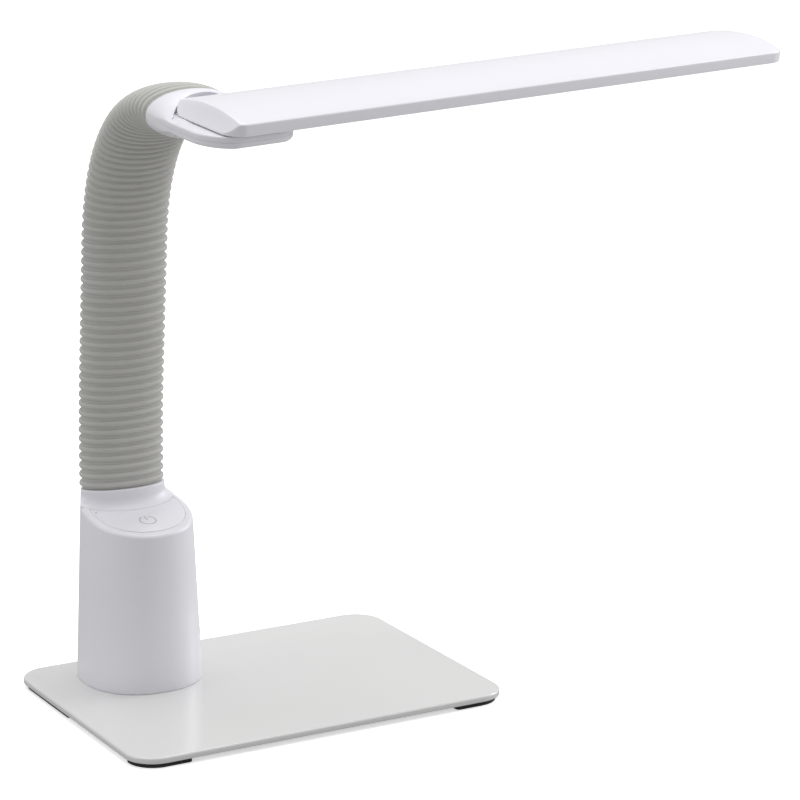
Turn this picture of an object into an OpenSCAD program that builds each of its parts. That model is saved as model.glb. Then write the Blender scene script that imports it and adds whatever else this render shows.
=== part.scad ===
// Folding LED desk lamp: a steel base plate, an oval stem with a sloped touch panel,
// a ribbed flexible neck and a long light bar that swivels on a flat bracket.
// Millimetres. The origin is the middle of the footprint, on the table. +X runs to the
// user's right along the light bar, -Y points to the user and +Z is up.

/* [Base plate] */
// Width of the base plate, side to side
plate_w = 200; // [190:1:230]
// Depth of the base plate, front to back
plate_d = 146; // [142:1:170]
// Thickness of the steel base plate
plate_t = 3; // [2.5:0.1:4]
// Corner radius of the base plate in plan
plate_corner = 15; // [10:0.5:22]
// Rounding of the plate's top edge
plate_edge = 1; // [0.5:0.1:1.4]

/* [Feet] */
// Height of the rubber feet
foot_h = 2.5; // [2:0.1:4]
// Length of each foot along the front and rear edges
foot_w = 27; // [20:1:34]
// Depth of the two front feet
foot_front_d = 16; // [14:1:24]
// Depth of the two rear feet, which lie under the stem's side
foot_rear_d = 60; // [40:1:64]
// How far the feet lie in from the plate's edge
foot_inset = 2; // [1:0.25:4]

/* [Stem] */
// From the plate's left end to the stem's middle
stem_in_x = 53; // [40:1:60]
// From the plate's rear edge to the stem's middle
stem_in_y = 33.5; // [32:0.5:39]
// Width of the stem at its foot
stem_w = 60; // [58:0.5:66]
// Depth of the stem at its foot
stem_d = 63; // [62:0.5:66]
// Width of the stem at its top
stem_top_w = 53; // [52:0.5:56]
// Depth of the stem at its top
stem_top_d = 56.5; // [56:0.5:59]
// Height of the sloped top above the table, at the stem's middle
stem_h = 91; // [88:0.5:94]
// Wall thickness of the stem's housing
stem_wall = 2.4; // [1.8:0.1:3]
// Slope of the touch panel towards the user
panel_slope = 12; // [8:0.5:15]
// Thickness of the inset touch panel
panel_t = 1.4; // [1:0.1:1.8]
// Width of the rim left round the touch panel
panel_rim = 3.4; // [3:0.1:5]
// Diameter of the power symbol
icon_d = 8.6; // [6:0.2:11]

/* [Power inlet] */
// Diameter of the power jack's round mouth
jack_mouth_d = 8; // [7:0.1:9]
// Diameter of the socket behind the mouth
jack_socket_d = 5.6; // [5:0.1:6.4]
// Height of the jack's middle above the table
jack_z = 28; // [27:0.5:32]

/* [Flexible neck] */
// Width of the oval sleeve, over its ribs
sleeve_w = 43.6; // [42:0.2:46]
// Thickness of the oval sleeve, over its ribs
sleeve_d = 21.6; // [21:0.2:23]
// Wall of the sleeve under the grooves
sleeve_wall = 1.6; // [1.2:0.1:1.8]
// Depth of the grooves between the ribs
rib_depth = 1.2; // [0.6:0.1:1.3]
// Number of whole ribs on the sleeve
rib_count = 55; // [40:1:70]
// Length of the part rib that ends the sleeve at the cap
part_rib = 2.4; // [1:0.1:3]
// Length of the sleeve along its middle
sleeve_l = 251; // [245:1:258]
// Forward lean of the neck's lower part
fore_lean = 6.7; // [0:0.1:10]
// Length over which the lean grows from upright
lean_l = 60; // [40:1:90]
// Length along the sleeve at which the bend begins
bend_start = 125; // [110:1:135]
// Heading of the sleeve's end from upright
tip_heading = 98; // [90:1:100]
// How the bend tightens towards the bracket, 1 is a plain arc
bend_power = 1.15; // [1:0.05:1.5]
// Turn of the neck's plane about the upright
neck_turn = -3.2; // [-8:0.1:4]
// Number of ball joints in the neck's core
joint_count = 12; // [11:1:13]
// Diameter of each ball in the core
ball_d = 10.4; // [9.8:0.1:10.8]
// Diameter of the wire pair beside the core
lead_d = 3; // [2:0.1:3.2]

/* [Bracket] */
// Turn of the bracket and light bar about the upright
head_turn = 12; // [8:1:14]
// Width of the bracket's flat tongue
tongue_w = 53.8; // [50:0.5:56]
// Length of the tongue in front of the sleeve's end
tongue_l = 52; // [48:0.1:54]
// Thickness of the flat tongue
tongue_t = 5.4; // [5.2:0.1:6.4]
// Corner radius of the tongue's front end
tongue_corner = 17.5; // [8:0.5:20]
// Turn of the light bar from rest, clockwise from above
swivel_range = 150; // [90:5:150]
// Diameter of the hollow swivel pin
pin_d = 9; // [8:0.1:10]

/* [Light bar] */
// Length of the light bar
head_l = 361; // [340:1:380]
// Width of the light bar
head_w = 46; // [45:0.5:47]
// Height of the light bar's straight sides
head_side = 5.5; // [5.2:0.1:6.5]
// Rise of the crowned top above the sides
head_crown = 3.6; // [3:0.1:5]
// Length of the bar behind the swivel pin
head_back = 18; // [17.5:0.1:18.5]
// Wall thickness of the bar's top housing
head_wall = 1.6; // [1.2:0.1:1.8]
// Number of light-emitting diodes along the board
led_count = 36; // [20:1:40]

/* [Clearances] */
// Gap between parts that only lie near each other
loose_gap = 0.3; // [0.25:0.05:0.4]
// Radial play of a turning pin or ball
run_gap = 0.08; // [0.04:0.01:0.1]
// Play round a piece that is seated in a recess
seat_gap = 0.1; // [0.05:0.01:0.15]

/* [Hidden] */
$fn = 48;
skin = 0.01;

// Colours
white_gloss = [0.93, 0.93, 0.92];
white_soft = [0.95, 0.95, 0.96];
sleeve_grey = [0.78, 0.78, 0.75];
rubber_black = [0.08, 0.08, 0.08];
steel = [0.7, 0.71, 0.73];
board_green = [0.1, 0.35, 0.2];
icon_grey = [0.62, 0.62, 0.65];
diffuser_white = [0.97, 0.97, 0.94];
led_yellow = [0.95, 0.85, 0.45];
part_black = [0.12, 0.12, 0.13];
lead_grey = [0.5, 0.5, 0.52];

// Heights of the base and place of the stem
plate_z = foot_h;
plate_top = plate_z + plate_t;
stem_x = stem_in_x - plate_w / 2;
stem_y = plate_d / 2 - stem_in_y;

// Superellipse points: sharper than an ellipse for a power over 2
function signed_pow(v, p) = sign(v) * pow(abs(v), p);
function oval(a, b, power, n) =
    [for (i = [0:n - 1]) let (t = 360 * i / n)
        [a * signed_pow(cos(t), 2 / power), b * signed_pow(sin(t), 2 / power)]];

// Solid through a list of rings of points, closed by a flat fan at each end
module loft(rings) {
    n = len(rings[0]);
    last = (len(rings) - 1) * n;
    points = [for (ring = rings) each ring];
    sides = [for (k = [0:len(rings) - 2]) for (i = [0:n - 1])
        let (a = k * n + i, b = k * n + (i + 1) % n) each [[a, b + n, b], [a, a + n, b + n]]];
    floor_fan = [for (i = [1:n - 2]) [0, i, i + 1]];
    roof_fan = [for (i = [1:n - 2]) [last, last + i + 1, last + i]];
    polyhedron(points, concat(sides, floor_fan, roof_fan), convexity = 6);
}

// Rounded rectangle about the origin
module rounded_rect(w, d, r) {
    square([w - 2 * r, d], center = true);
    square([w, d - 2 * r], center = true);
    for (x = [-1, 1], y = [-1, 1]) translate([x * (w / 2 - r), y * (d / 2 - r)]) circle(r);
}

// Half section of a slab's edge, from its corner centre outwards, rounded above and below
module edge_profile(r, t, e, low) {
    intersection() {
        union() {
            translate([0, low]) square([r, t - e - low]);
            square([r - max(e, low), t]);
            translate([r - e, t - e]) circle(e);
            translate([r - low, low]) circle(low);
        }
        square([r, t]);
    }
}

// Slab with rounded corners in plan and rounded edges above and below
module soft_slab(w, d, t, r, e, low) {
    x = w / 2 - r;
    y = d / 2 - r;
    translate([-x, -y, 0]) cube([2 * x, 2 * y, t]);
    for (sx = [-1, 1], sy = [-1, 1]) translate([sx * x, sy * y, 0])
        rotate_extrude() edge_profile(r, t, e, low);
    for (side = [0, 1]) mirror([0, side, 0]) translate([-x, y, 0])
        rotate([90, 0, 90]) linear_extrude(2 * x) edge_profile(r, t, e, low);
    for (side = [0, 1]) mirror([side, 0, 0]) translate([x, y, 0])
        rotate([90, 0, 0]) linear_extrude(2 * y) edge_profile(r, t, e, low);
}

// Countersunk screw, head down at the origin, shank upwards
screw_sink = 0.15;
module sunk_screw(d, length) {
    translate([0, 0, screw_sink]) cylinder(h = d * 0.55, d1 = 2 * d, d2 = d);
    translate([0, 0, screw_sink]) cylinder(h = length, d = d);
}
module sunk_hole(d, length) {
    cylinder(h = screw_sink + skin, d = 2 * d + 2 * seat_gap);
    translate([0, 0, screw_sink])
        cylinder(h = d * 0.55, d1 = 2 * d + 2 * seat_gap, d2 = d + 2 * seat_gap);
    cylinder(h = length + 2 * screw_sink, d = d + 2 * seat_gap);
}

// Stem's screws: two hold the neck's post and two hold the housing
stem_screw_d = 4;
post_screw_x = 14;
post_screws = [[-post_screw_x, 0], [post_screw_x, 0]];
boss_d = 9;
boss_h = 14;
boss_places = [[-20.5, -15.5], [20.5, -15.5]];
module at_post_screws() {
    for (p = post_screws) translate([neck_x + p[0], neck_y + p[1], plate_z]) children();
}
module at_boss_screws() {
    for (p = boss_places) translate([stem_x + p[0], stem_y + p[1], plate_z]) children();
}

module base_plate() color(white_gloss) difference() {
    translate([0, 0, plate_z]) soft_slab(plate_w, plate_d, plate_t, plate_corner, plate_edge, 0.3);
    at_post_screws() translate([0, 0, -skin]) sunk_hole(stem_screw_d, plate_t);
    at_boss_screws() translate([0, 0, -skin]) sunk_hole(stem_screw_d, plate_t);
}

// Foot under one corner, cut from the plate's own outline
module foot(side, end, depth) {
    corner_x = plate_w / 2 - foot_inset;
    corner_y = plate_d / 2 - foot_inset;
    color(rubber_black) linear_extrude(foot_h) intersection() {
        rounded_rect(2 * corner_x, 2 * corner_y, plate_corner - foot_inset);
        translate([side * (corner_x - foot_w / 2), end * (corner_y - depth / 2)])
            rounded_rect(foot_w, depth, foot_r);
    }
}
foot_r = 2;

// Stem housing
stem_power = 2.2;
stem_sides = 48;
rim_round = 2;
stem_taper_x = stem_top_w / stem_w - 1;
stem_taper_y = stem_top_d / stem_d - 1;
function panel_z(y) = stem_h + (y - stem_y) * tan(panel_slope);

// Ring of the stem at a height above the table, drawn in by an inset
function stem_ring(inset, lift) =
    [for (p = oval(stem_w / 2, stem_d / 2, stem_power, stem_sides))
        stem_point(p, inset, lift)];
function stem_scale(z) = (z - plate_top) / (stem_h - plate_top);
function stem_point(p, inset, z) =
    let (k = stem_scale(z),
         sx = (1 + stem_taper_x * k) * (1 - 2 * inset / stem_w),
         sy = (1 + stem_taper_y * k) * (1 - 2 * inset / stem_d))
    [stem_x + p[0] * sx, stem_y + p[1] * sy, z];

// Ring of the stem that lies in the sloped top, sunk below it by a drop
function stem_top_ring(inset, drop) =
    [for (p = oval(stem_w / 2, stem_d / 2, stem_power, stem_sides))
        let (z = panel_z(stem_y + p[1] * (1 + stem_taper_y)) - drop)
        stem_point(p, inset, z)];

module stem_outside() {
    loft([stem_ring(0.5, plate_top), stem_ring(0, plate_top + 0.6), stem_top_ring(0, rim_round),
          stem_top_ring(rim_round * 0.3, rim_round * 0.3), stem_top_ring(rim_round, 0)]);
}
top_wall = 3.4;
module stem_inside() {
    loft([stem_ring(stem_wall, plate_top - 1), stem_ring(stem_wall, plate_top + 20),
          stem_top_ring(stem_wall, top_wall)]);
}

// Collar that carries the sleeve: it flares into the sloped top
neck_rise = 9.4;
neck_z = stem_h + neck_rise;
collar_top = neck_z - loose_gap;
neck_back = 14.6;
collar_flare = 4;
collar_w = sleeve_w + 0.8;
collar_d = sleeve_d + 1.6;
neck_x = stem_x - 0.9;
neck_y = stem_y + neck_back;
neck_root = [neck_x, neck_y, neck_z];
plug_drop = 9;
neck_power = 2.1;
collar_sides = 40;
function turned(p) = [p[0] * cos(neck_turn) - p[1] * sin(neck_turn),
                      p[0] * sin(neck_turn) + p[1] * cos(neck_turn)];
function collar_plan(grow) =
    [for (p = oval(collar_w / 2 + grow, collar_d / 2 + grow, neck_power, collar_sides))
        [neck_x, neck_y] + turned(p)];
function collar_ring(grow, z) = [for (p = collar_plan(grow)) [p[0], p[1], z]];
function collar_foot(grow, rise) =
    [for (p = collar_plan(grow)) [p[0], p[1], panel_z(p[1]) + rise]];
module collar_outside() intersection() {
    loft([collar_foot(collar_flare, -top_wall), collar_foot(collar_flare, -0.1),
          collar_foot(1.6, 0.9), collar_foot(0.5, 2.6), collar_ring(0.1, collar_top - 0.8),
          collar_ring(-0.6, collar_top)]);
    loft([stem_ring(0, plate_top + 40), stem_ring(0, collar_top + 10)]);
}
plug_w = sleeve_w - 2 * (rib_depth + sleeve_wall + loose_gap) - 0.6;
plug_d = sleeve_d - 2 * (rib_depth + sleeve_wall + loose_gap) - 0.3;
plug_sides = 32;
module plug_outline(grow) polygon(oval(plug_w / 2 + grow, plug_d / 2 + grow, 2, plug_sides));

// Frame of the sloped panel: origin on its surface at the stem's middle
module at_panel() translate([stem_x, stem_y, stem_h]) rotate([panel_slope, 0, 0]) children();
module panel_outline(grow) {
    collar_y = (neck_y - stem_y) / cos(panel_slope);
    difference() {
        polygon(oval(stem_top_w / 2 - panel_rim + grow, stem_top_d / 2 - panel_rim + grow,
                     stem_power, stem_sides));
        translate([neck_x - stem_x, collar_y]) rotate(neck_turn)
            polygon(oval(collar_w / 2 + collar_flare + 0.6 - grow,
                         collar_d / 2 + collar_flare + 0.6 - grow, neck_power, collar_sides));
    }
}
jack_body = [11, 10, 14];
jack_flange_d = 11;
jack_seat = 3.7;
jack_rim = 1.39;
jack_wall = 2.99;
jack_back = 8;
jack_x = stem_x + stem_w / 2 - 2.2;
jack_y = stem_y - jack_back;
module at_jack() translate([jack_x, jack_y, jack_z]) rotate([0, 90, 0]) children();
module stem_housing() color(white_soft) difference() {
    union() {
        stem_outside();
        collar_outside();
    }
    difference() {
        stem_inside();
        for (p = boss_places) translate([stem_x + p[0], stem_y + p[1], plate_top])
            cylinder(h = boss_h, d = boss_d);
        at_panel() for (p = pillars) translate([p[0], p[1], touch_z + board_t + 0.1])
            cylinder(h = 10, d = 4);
    }
    at_boss_screws() cylinder(h = plate_t + boss_h - 2, d = stem_screw_d);
    at_panel() translate([0, 0, -panel_t]) linear_extrude(10) panel_outline(seat_gap);
    at_panel() translate([0, icon_y, -8]) cylinder(h = 8, d = 12);
    translate([neck_x, neck_y, 60]) rotate(neck_turn) linear_extrude(60) plug_outline(loose_gap);
    at_jack() translate([0, 0, -8]) cylinder(h = 16, d = jack_flange_d + 2 * seat_gap);
}

// Touch panel with its symbol and indicator
icon_y = panel_rim + 11.35 - stem_top_d / 2;
icon_line = 0.55;
icon_depth = 0.4;
dot_in = 2.1;
dot_place = [dot_in + panel_rim - stem_top_w / 2, 1];
dot_d = 1.2;
module icon_shape(grow) {
    difference() {
        circle(icon_d / 2 + grow);
        circle(icon_d / 2 - icon_line - grow);
        translate([0, icon_d / 2]) square([icon_d * 0.42 - 2 * grow, icon_d], center = true);
    }
    translate([-icon_line / 2 - grow, icon_d * 0.02 - grow])
        square([icon_line + 2 * grow, icon_d * 0.5 + 2 * grow]);
}
module at_icon() at_panel() translate([0, icon_y, -icon_depth]) children();
module control_panel() color(white_soft) difference() {
    at_panel() translate([0, 0, -panel_t + 0.05]) linear_extrude(panel_t) panel_outline(0);
    at_icon() linear_extrude(1) icon_shape(0.02);
    at_panel() translate([dot_place[0], dot_place[1], -3]) cylinder(h = 6, d = dot_d + 0.1);
}
module power_icon() color(icon_grey) at_icon() linear_extrude(icon_depth + 0.06) icon_shape(0);
module indicator_lens() color(icon_grey) at_panel()
    translate([dot_place[0], dot_place[1], -panel_t + 0.05]) cylinder(h = panel_t + 0.02, d = dot_d);

// Touch board below the panel and driver board on the stem's floor
board_t = 1.2;
touch_z = -top_wall - 2.6;
touch_w = 30;
spring_h = -touch_z - board_t - panel_t - 0.05;
pillars = [[-11, icon_y - 3.5], [11, icon_y - 3.5]];
driver_w = 38;
driver_h = 36;
driver_z = plate_top + 34;
driver_y = stem_y - 4;
lug_zs = [driver_z + 6, driver_z + driver_h - 6];
module touch_board() {
    at_panel() {
        color(board_green) translate([-touch_w / 2, icon_y - 6.5, touch_z])
            cube([touch_w, 14, board_t]);
        color(steel) translate([0, icon_y, touch_z + board_t]) cylinder(h = spring_h, d = 9);
    }
}
module driver_board() {
    translate([stem_x, driver_y, driver_z]) {
        color(board_green) translate([-driver_w / 2, 0, 0])
            cube([driver_w, board_t, driver_h]);
        color(part_black) translate([3 - driver_w / 2, -9, 6]) cube([14, 9 + skin, 12]);
        color(part_black) translate([3, -5, driver_h - 16]) cube([12, 5 + skin, 8]);
        color(steel) translate([driver_w / 2 - 10, skin, 9]) rotate([90, 0, 0]) cylinder(h = 10, d = 8);
    }
}
module dc_jack() color(part_black) difference() {
    at_jack() union() {
        translate([-jack_body[0] / 2, -jack_body[1] / 2, -jack_body[2] - jack_seat])
            cube(jack_body);
        translate([0, 0, -jack_seat - skin])
            cylinder(h = jack_seat + skin + jack_rim, d = jack_flange_d);
    }
    at_jack() translate([0, 0, jack_rim - jack_wall]) cylinder(h = 10, d = jack_mouth_d);
    difference() {
        at_jack() translate([0, 0, -13]) cylinder(h = 14, d = jack_socket_d);
        at_jack() translate([0, 0, -14]) cylinder(h = 9, d = 2);
    }
}

// Post inside the stem that takes the neck's load to the plate
post_d = 15;
post_bore = 10;
post_top = neck_z - plug_drop - 0.02;
lug_d = 5;
flange_t = 3;
flange_l = 2 * post_screw_x + 6;
module neck_post() color(steel) difference() {
    translate([neck_x, neck_y, plate_top]) union() {
        linear_extrude(flange_t) rounded_rect(flange_l, post_d + 3, 4);
        cylinder(h = post_top - plate_top, d = post_d);
        for (z = lug_zs) translate([0, 0, z - plate_top]) rotate([90, 0, 0])
            cylinder(h = neck_y - driver_y - board_t - 0.1, d = lug_d);
    }
    translate([neck_x, neck_y, plate_top - 1]) cylinder(h = neck_z, d = post_bore);
    at_post_screws() cylinder(h = plate_t + flange_t + 10, d = stem_screw_d);
}
module stem_screws() color(steel) {
    at_post_screws() sunk_screw(stem_screw_d - 0.1, plate_t + flange_t);
    at_boss_screws() sunk_screw(stem_screw_d - 0.1, plate_t + 8);
}

// Route of the neck in its own plane: heading and place at a length along it
route_steps = 128;
route_step = sleeve_l / route_steps;
function bend_share(s) =
    pow(min(max((s - bend_start) / (sleeve_l - bend_start), 0), 1), bend_power);
function heading(s) =
    fore_lean * min(max(s, 0) / lean_l, 1) * (1 - bend_share(s)) + tip_heading * bend_share(s);
route = [for (i = 0, p = [0, 0]; i <= route_steps;
    p = p + route_step * [-sin(heading((i + 0.5) * route_step)), cos(heading((i + 0.5) * route_step))],
    i = i + 1) p];
function route_at(s) =
    s <= 0 ? [0, s] :
    s >= sleeve_l ? route[route_steps] + (s - sleeve_l) * [-sin(tip_heading), cos(tip_heading)] :
    let (k = min(floor(s / route_step), route_steps - 1), f = s / route_step - k)
    route[k] * (1 - f) + route[k + 1] * f;
module in_neck_plane() translate(neck_root) rotate([0, 0, neck_turn]) children();
module at_neck(s) in_neck_plane() translate([0, route_at(s)[0], route_at(s)[1]])
    rotate([heading(s), 0, 0]) children();

// Ring of points square to the route
function neck_point(p, s) =
    let (h = heading(s), c = route_at(s),
         plan = turned([p[0], c[0] + p[1] * cos(h)]))
    neck_root + [plan[0], plan[1], c[1] + p[1] * sin(h)];
function neck_ring(a, b, n, s) = [for (p = oval(a, b, neck_power, n)) neck_point(p, s)];

// Ribbed sleeve: grooves, rounded ribs and an open bore
sleeve_sides = 16;
rib_pitch = (sleeve_l - part_rib) / rib_count;
bore_rings = 32;
module neck_sleeve() {
    a = sleeve_w / 2;
    b = sleeve_d / 2;
    inner_a = a - rib_depth - sleeve_wall;
    inner_b = b - rib_depth - sleeve_wall;
    groove = function(s) neck_ring(a - rib_depth, b - rib_depth, sleeve_sides, s);
    crest = function(s) neck_ring(a, b, sleeve_sides, s);
    outer = [for (k = [0:rib_count - 1]) let (s = k * rib_pitch)
        each [groove(s), crest(s + rib_pitch * 0.28), crest(s + rib_pitch * 0.72)]];
    inner = [for (k = [0:bore_rings]) neck_ring(inner_a, inner_b, sleeve_sides,
        sleeve_l * (1 - k / bore_rings))];
    top_end = [groove(sleeve_l - part_rib), crest(sleeve_l - part_rib / 2), crest(sleeve_l)];
    color(sleeve_grey) tube_loft(concat(outer, top_end, inner));
}

// Closed band of rings, out along the skin and back along the bore
module tube_loft(rings) {
    n = len(rings[0]);
    m = len(rings);
    points = [for (ring = rings) each ring];
    faces = [for (k = [0:m - 1]) for (i = [0:n - 1])
        let (a = k * n + i, b = k * n + (i + 1) % n, up = ((k + 1) % m) * n)
        each [[a, up + (i + 1) % n, b], [a, up + i, up + (i + 1) % n]]];
    polyhedron(points, faces, convexity = 10);
}

// Ball joints of the neck's core
first_joint = 5;
last_joint = sleeve_l - 14;
joint_pitch = (last_joint - first_joint) / (joint_count - 1);
function joint_s(j) = first_joint + (j - 1) * joint_pitch;
ball_r = ball_d / 2;
stud_r = 2.6;
socket_r = 7;
socket_lip = 2.9;
socket_back = 6.6;
function chord(j) = route_at(joint_s(j + 1)) - route_at(joint_s(j));
function chord_heading(j) = atan2(-chord(j)[0], chord(j)[1]);
module at_joint(j, turn) in_neck_plane()
    translate([0, route_at(joint_s(j))[0], route_at(joint_s(j))[1]]) rotate([turn, 0, 0]) children();
module socket_cup(lip) difference() {
    rotate_extrude() polygon([[0, -socket_back], [4, -socket_back], [socket_r, -4],
        [socket_r, lip - 1], [socket_r - 1, lip], [0, lip]]);
    sphere(ball_r + run_gap);
    translate([0, 0, lip - 0.7]) cylinder(h = 1, r1 = ball_r - 0.9, r2 = ball_r - 0.3);
}
module neck_link(j) color(steel) at_joint(j, chord_heading(j)) {
    sphere(ball_r);
    cylinder(h = norm(chord(j)) - socket_back + 0.5, r = stud_r);
    translate([0, 0, norm(chord(j))]) socket_cup(socket_lip);
}

// Plug in the collar with the first socket, on a shank in the post
shank_l = 24;
plug_top = first_joint + socket_lip;
module lead_hole(low, high) translate([lead_x, 0, low])
    cylinder(h = high - low, d = lead_d + 4 * loose_gap);
module neck_clamp() color(steel) difference() {
    at_neck(0) union() {
        translate([0, 0, -plug_drop]) linear_extrude(plug_top + plug_drop) plug_outline(0);
        translate([0, 0, -shank_l - plug_drop + 1])
            cylinder(h = shank_l, d = post_bore - 2 * seat_gap);
    }
    at_neck(0) translate([0, 0, first_joint]) sphere(ball_r + run_gap);
    at_neck(0) translate([0, 0, plug_top - 0.7]) cylinder(h = 1, r1 = ball_r - 0.9, r2 = ball_r - 0.3);
    at_neck(0) lead_hole(-10, plug_top + 1);
}
module neck_tip() color(steel) {
    at_joint(joint_count, heading(last_joint)) {
        sphere(ball_r);
        cylinder(h = 9, r = stud_r);
    }
    difference() {
        at_neck(sleeve_l) translate([0, 0, -5]) linear_extrude(17) plug_outline(-0.15);
        at_bracket() translate([-40, -plug_reach - 40, -30]) cube([80, 40, 60]);
        at_neck(sleeve_l) lead_hole(-6, 18);
    }
}

// Wire pair that runs beside the core, a tube swept along the route
lead_x = 13;
lead_sides = 8;
lead_rings = 40;
lead_start = -14;
lead_end = sleeve_l + 2;
module neck_lead() color(lead_grey) loft([for (k = [0:lead_rings])
    let (s = lead_start + (lead_end - lead_start) * k / lead_rings)
    [for (i = [0:lead_sides - 1]) let (t = 360 * i / lead_sides)
        neck_point([lead_x + lead_d / 2 * cos(t), lead_d / 2 * sin(t)], s)]]);

// Bracket's own frame: origin at the sleeve's end, +Y back along the tongue
bracket_tilt = tip_heading - 90;
route_end = neck_point([0, 0], sleeve_l);
module at_bracket() translate(route_end) rotate([0, 0, head_turn])
    rotate([bracket_tilt, 0, 0]) children();

tongue_low = -2;
tongue_high = tongue_low + tongue_t;
seam_z = tongue_low + tongue_t / 2;
pin_x = -1;
pin_y = -31.5;
head_low = tongue_high + 0.6;
corner_left = 9;
corner_right = 13;
head_reach = norm([head_back - corner_left, head_w / 2 - corner_left]) + corner_left;
sweep_gap = 0.6;
sweep_r = head_reach + sweep_gap;
plug_reach = 6;

// Point of the room in the bracket's own frame
function into_bracket(q) =
    let (d = q - route_end,
         x = d[0] * cos(head_turn) + d[1] * sin(head_turn),
         y = d[1] * cos(head_turn) - d[0] * sin(head_turn))
    [x, y * cos(bracket_tilt) + d[2] * sin(bracket_tilt),
     d[2] * cos(bracket_tilt) - y * sin(bracket_tilt)];
function mix(a, b, t) = a + (b - a) * t;
function ease(t) = let (c = min(max(t, 0), 1)) c * c * (3 - 2 * c);

// Sections across the bracket: a rounded box, and the sleeve's own outline
skin_steps = 6;
skin_sides = 4 * (skin_steps + 1);
skin_corners = [[1, 1], [-1, 1], [-1, -1], [1, -1]];
function soft_section(y, half, top, bottom, round_x, round_z) =
    [for (q = [0:3]) for (i = [0:skin_steps])
        let (t = 90 * (q + i / skin_steps), c = skin_corners[q])
        [c[0] * (half - round_x) + round_x * cos(t), y,
         (top + bottom) / 2 + c[1] * ((top - bottom) / 2 - round_z) + round_z * sin(t)]];
function sleeve_section(grow, depth) =
    [for (i = [0:skin_sides - 1])
        let (t = 360 * (i + 0.5) / skin_sides,
             across = (sleeve_w / 2 + grow) * signed_pow(cos(t), 2 / neck_power),
             thick = (sleeve_d / 2 + grow) * signed_pow(sin(t), 2 / neck_power))
        into_bracket(neck_point([across, thick], sleeve_l + depth))];

// The cap: from the sleeve's outline over a dome down to the flat tongue
cap_length = 26;
cap_turn = 14;
tongue_edge = 1;
function cap_section(depth) =
    let (share = ease(depth / cap_length),
         half = mix(sleeve_w / 2 + 0.4, tongue_w / 2, ease(depth / 20)),
         top = mix(sleeve_d / 2 + 0.3, tongue_high, share),
         bottom = mix(-sleeve_d / 2 - 0.1, tongue_low, ease(depth / 22)),
         tall = (top - bottom) / 2,
         box = soft_section(-depth, half, top, bottom, mix(half - 0.3, tongue_edge, pow(share, 0.8)),
                            mix(tall - 0.1, tongue_edge, share)))
    mix(sleeve_section(depth < 1 ? -0.4 : 0.4, depth), box, ease(depth / cap_turn));
function tongue_section(depth) =
    let (left = tongue_l - depth,
         in_corner = max(tongue_corner - left, 0),
         in_edge = max(tongue_edge - left, 0),
         shrink = tongue_corner - sqrt(max(tongue_corner * tongue_corner - in_corner * in_corner, 0)),
         lift = tongue_edge - sqrt(max(tongue_edge * tongue_edge - in_edge * in_edge, 0)))
    soft_section(-depth, tongue_w / 2 - shrink, tongue_high - lift, tongue_low + lift,
                 tongue_edge, min(tongue_edge, tongue_t / 2 - lift - 0.1));
cap_depths = [loose_gap, 1.5, 4, 7, 10, 13, 16, 19, 22, cap_length];
module bracket_skin() {
    start = tongue_l - tongue_corner;
    loft([for (d = cap_depths) cap_section(d),
          for (i = [0:8]) tongue_section(start + tongue_corner * sin(90 * i / 8))]);
}

// Room that the turning light bar needs above the tongue
module head_sweep() translate([pin_x, pin_y, tongue_high]) {
    cylinder(h = 30, r = sweep_r, $fn = 96);
    for (turn = [0, -swivel_range]) rotate(turn)
        translate([0, -head_w / 2 - sweep_gap, 0]) cube([head_l, head_w + 2 * sweep_gap, 30]);
}
module bracket_solid() difference() {
    bracket_skin();
    head_sweep();
}
hub_room_r = 9.4;
hub_room_low = seam_z - 1.3;
hub_room_high = seam_z + 1.2;
bracket_screw_d = 2.2;
bracket_screws_at = [[-19, -41], [19, -41], [-15, -11], [15, -13]];
module bracket_rooms() {
    difference() {
        at_neck(sleeve_l) translate([0, 0, -2]) linear_extrude(16) plug_outline(seat_gap);
        at_bracket() translate([-40, -plug_reach - loose_gap - 40, -30]) cube([80, 40, 60]);
    }
    at_bracket() translate([pin_x, pin_y, hub_room_low])
        cylinder(h = hub_room_high - hub_room_low, r = hub_room_r);
    at_bracket() translate([-4, pin_y, seam_z - 1]) cube([18, 27, 2]);
    at_bracket() for (p = bracket_screws_at) translate([p[0], p[1], seam_z - 1])
        cylinder(h = 2.6, d = bracket_screw_d);
}
module above_seam() at_bracket() translate([-60, -80, seam_z + 0.02]) cube([120, 120, 40]);
module below_seam() at_bracket() translate([-60, -80, seam_z - 40 - 0.02]) cube([120, 120, 40]);
module bracket_top() color(white_soft) difference() {
    intersection() {
        at_bracket() bracket_solid();
        above_seam();
    }
    bracket_rooms();
    at_bracket() translate([pin_x, pin_y, 0]) cylinder(h = 20, d = pin_d + 2 * run_gap);
}
module bracket_bottom() color(white_soft) difference() {
    intersection() {
        at_bracket() bracket_solid();
        below_seam();
    }
    bracket_rooms();
    at_bracket() for (p = bracket_screws_at) translate([p[0], p[1], tongue_low - 8]) {
        cylinder(h = 9.2, d = 2 * bracket_screw_d);
        cylinder(h = 12, d = bracket_screw_d + 2 * seat_gap);
    }
}
module bracket_screws() color(steel) at_bracket() for (p = bracket_screws_at)
    translate([p[0], p[1], tongue_low]) {
        translate([0, 0, 0.2]) cylinder(h = 0.9, d = 2 * bracket_screw_d - 0.4);
        translate([0, 0, 1]) cylinder(h = 2.9, d = bracket_screw_d - 0.1);
    }

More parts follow.
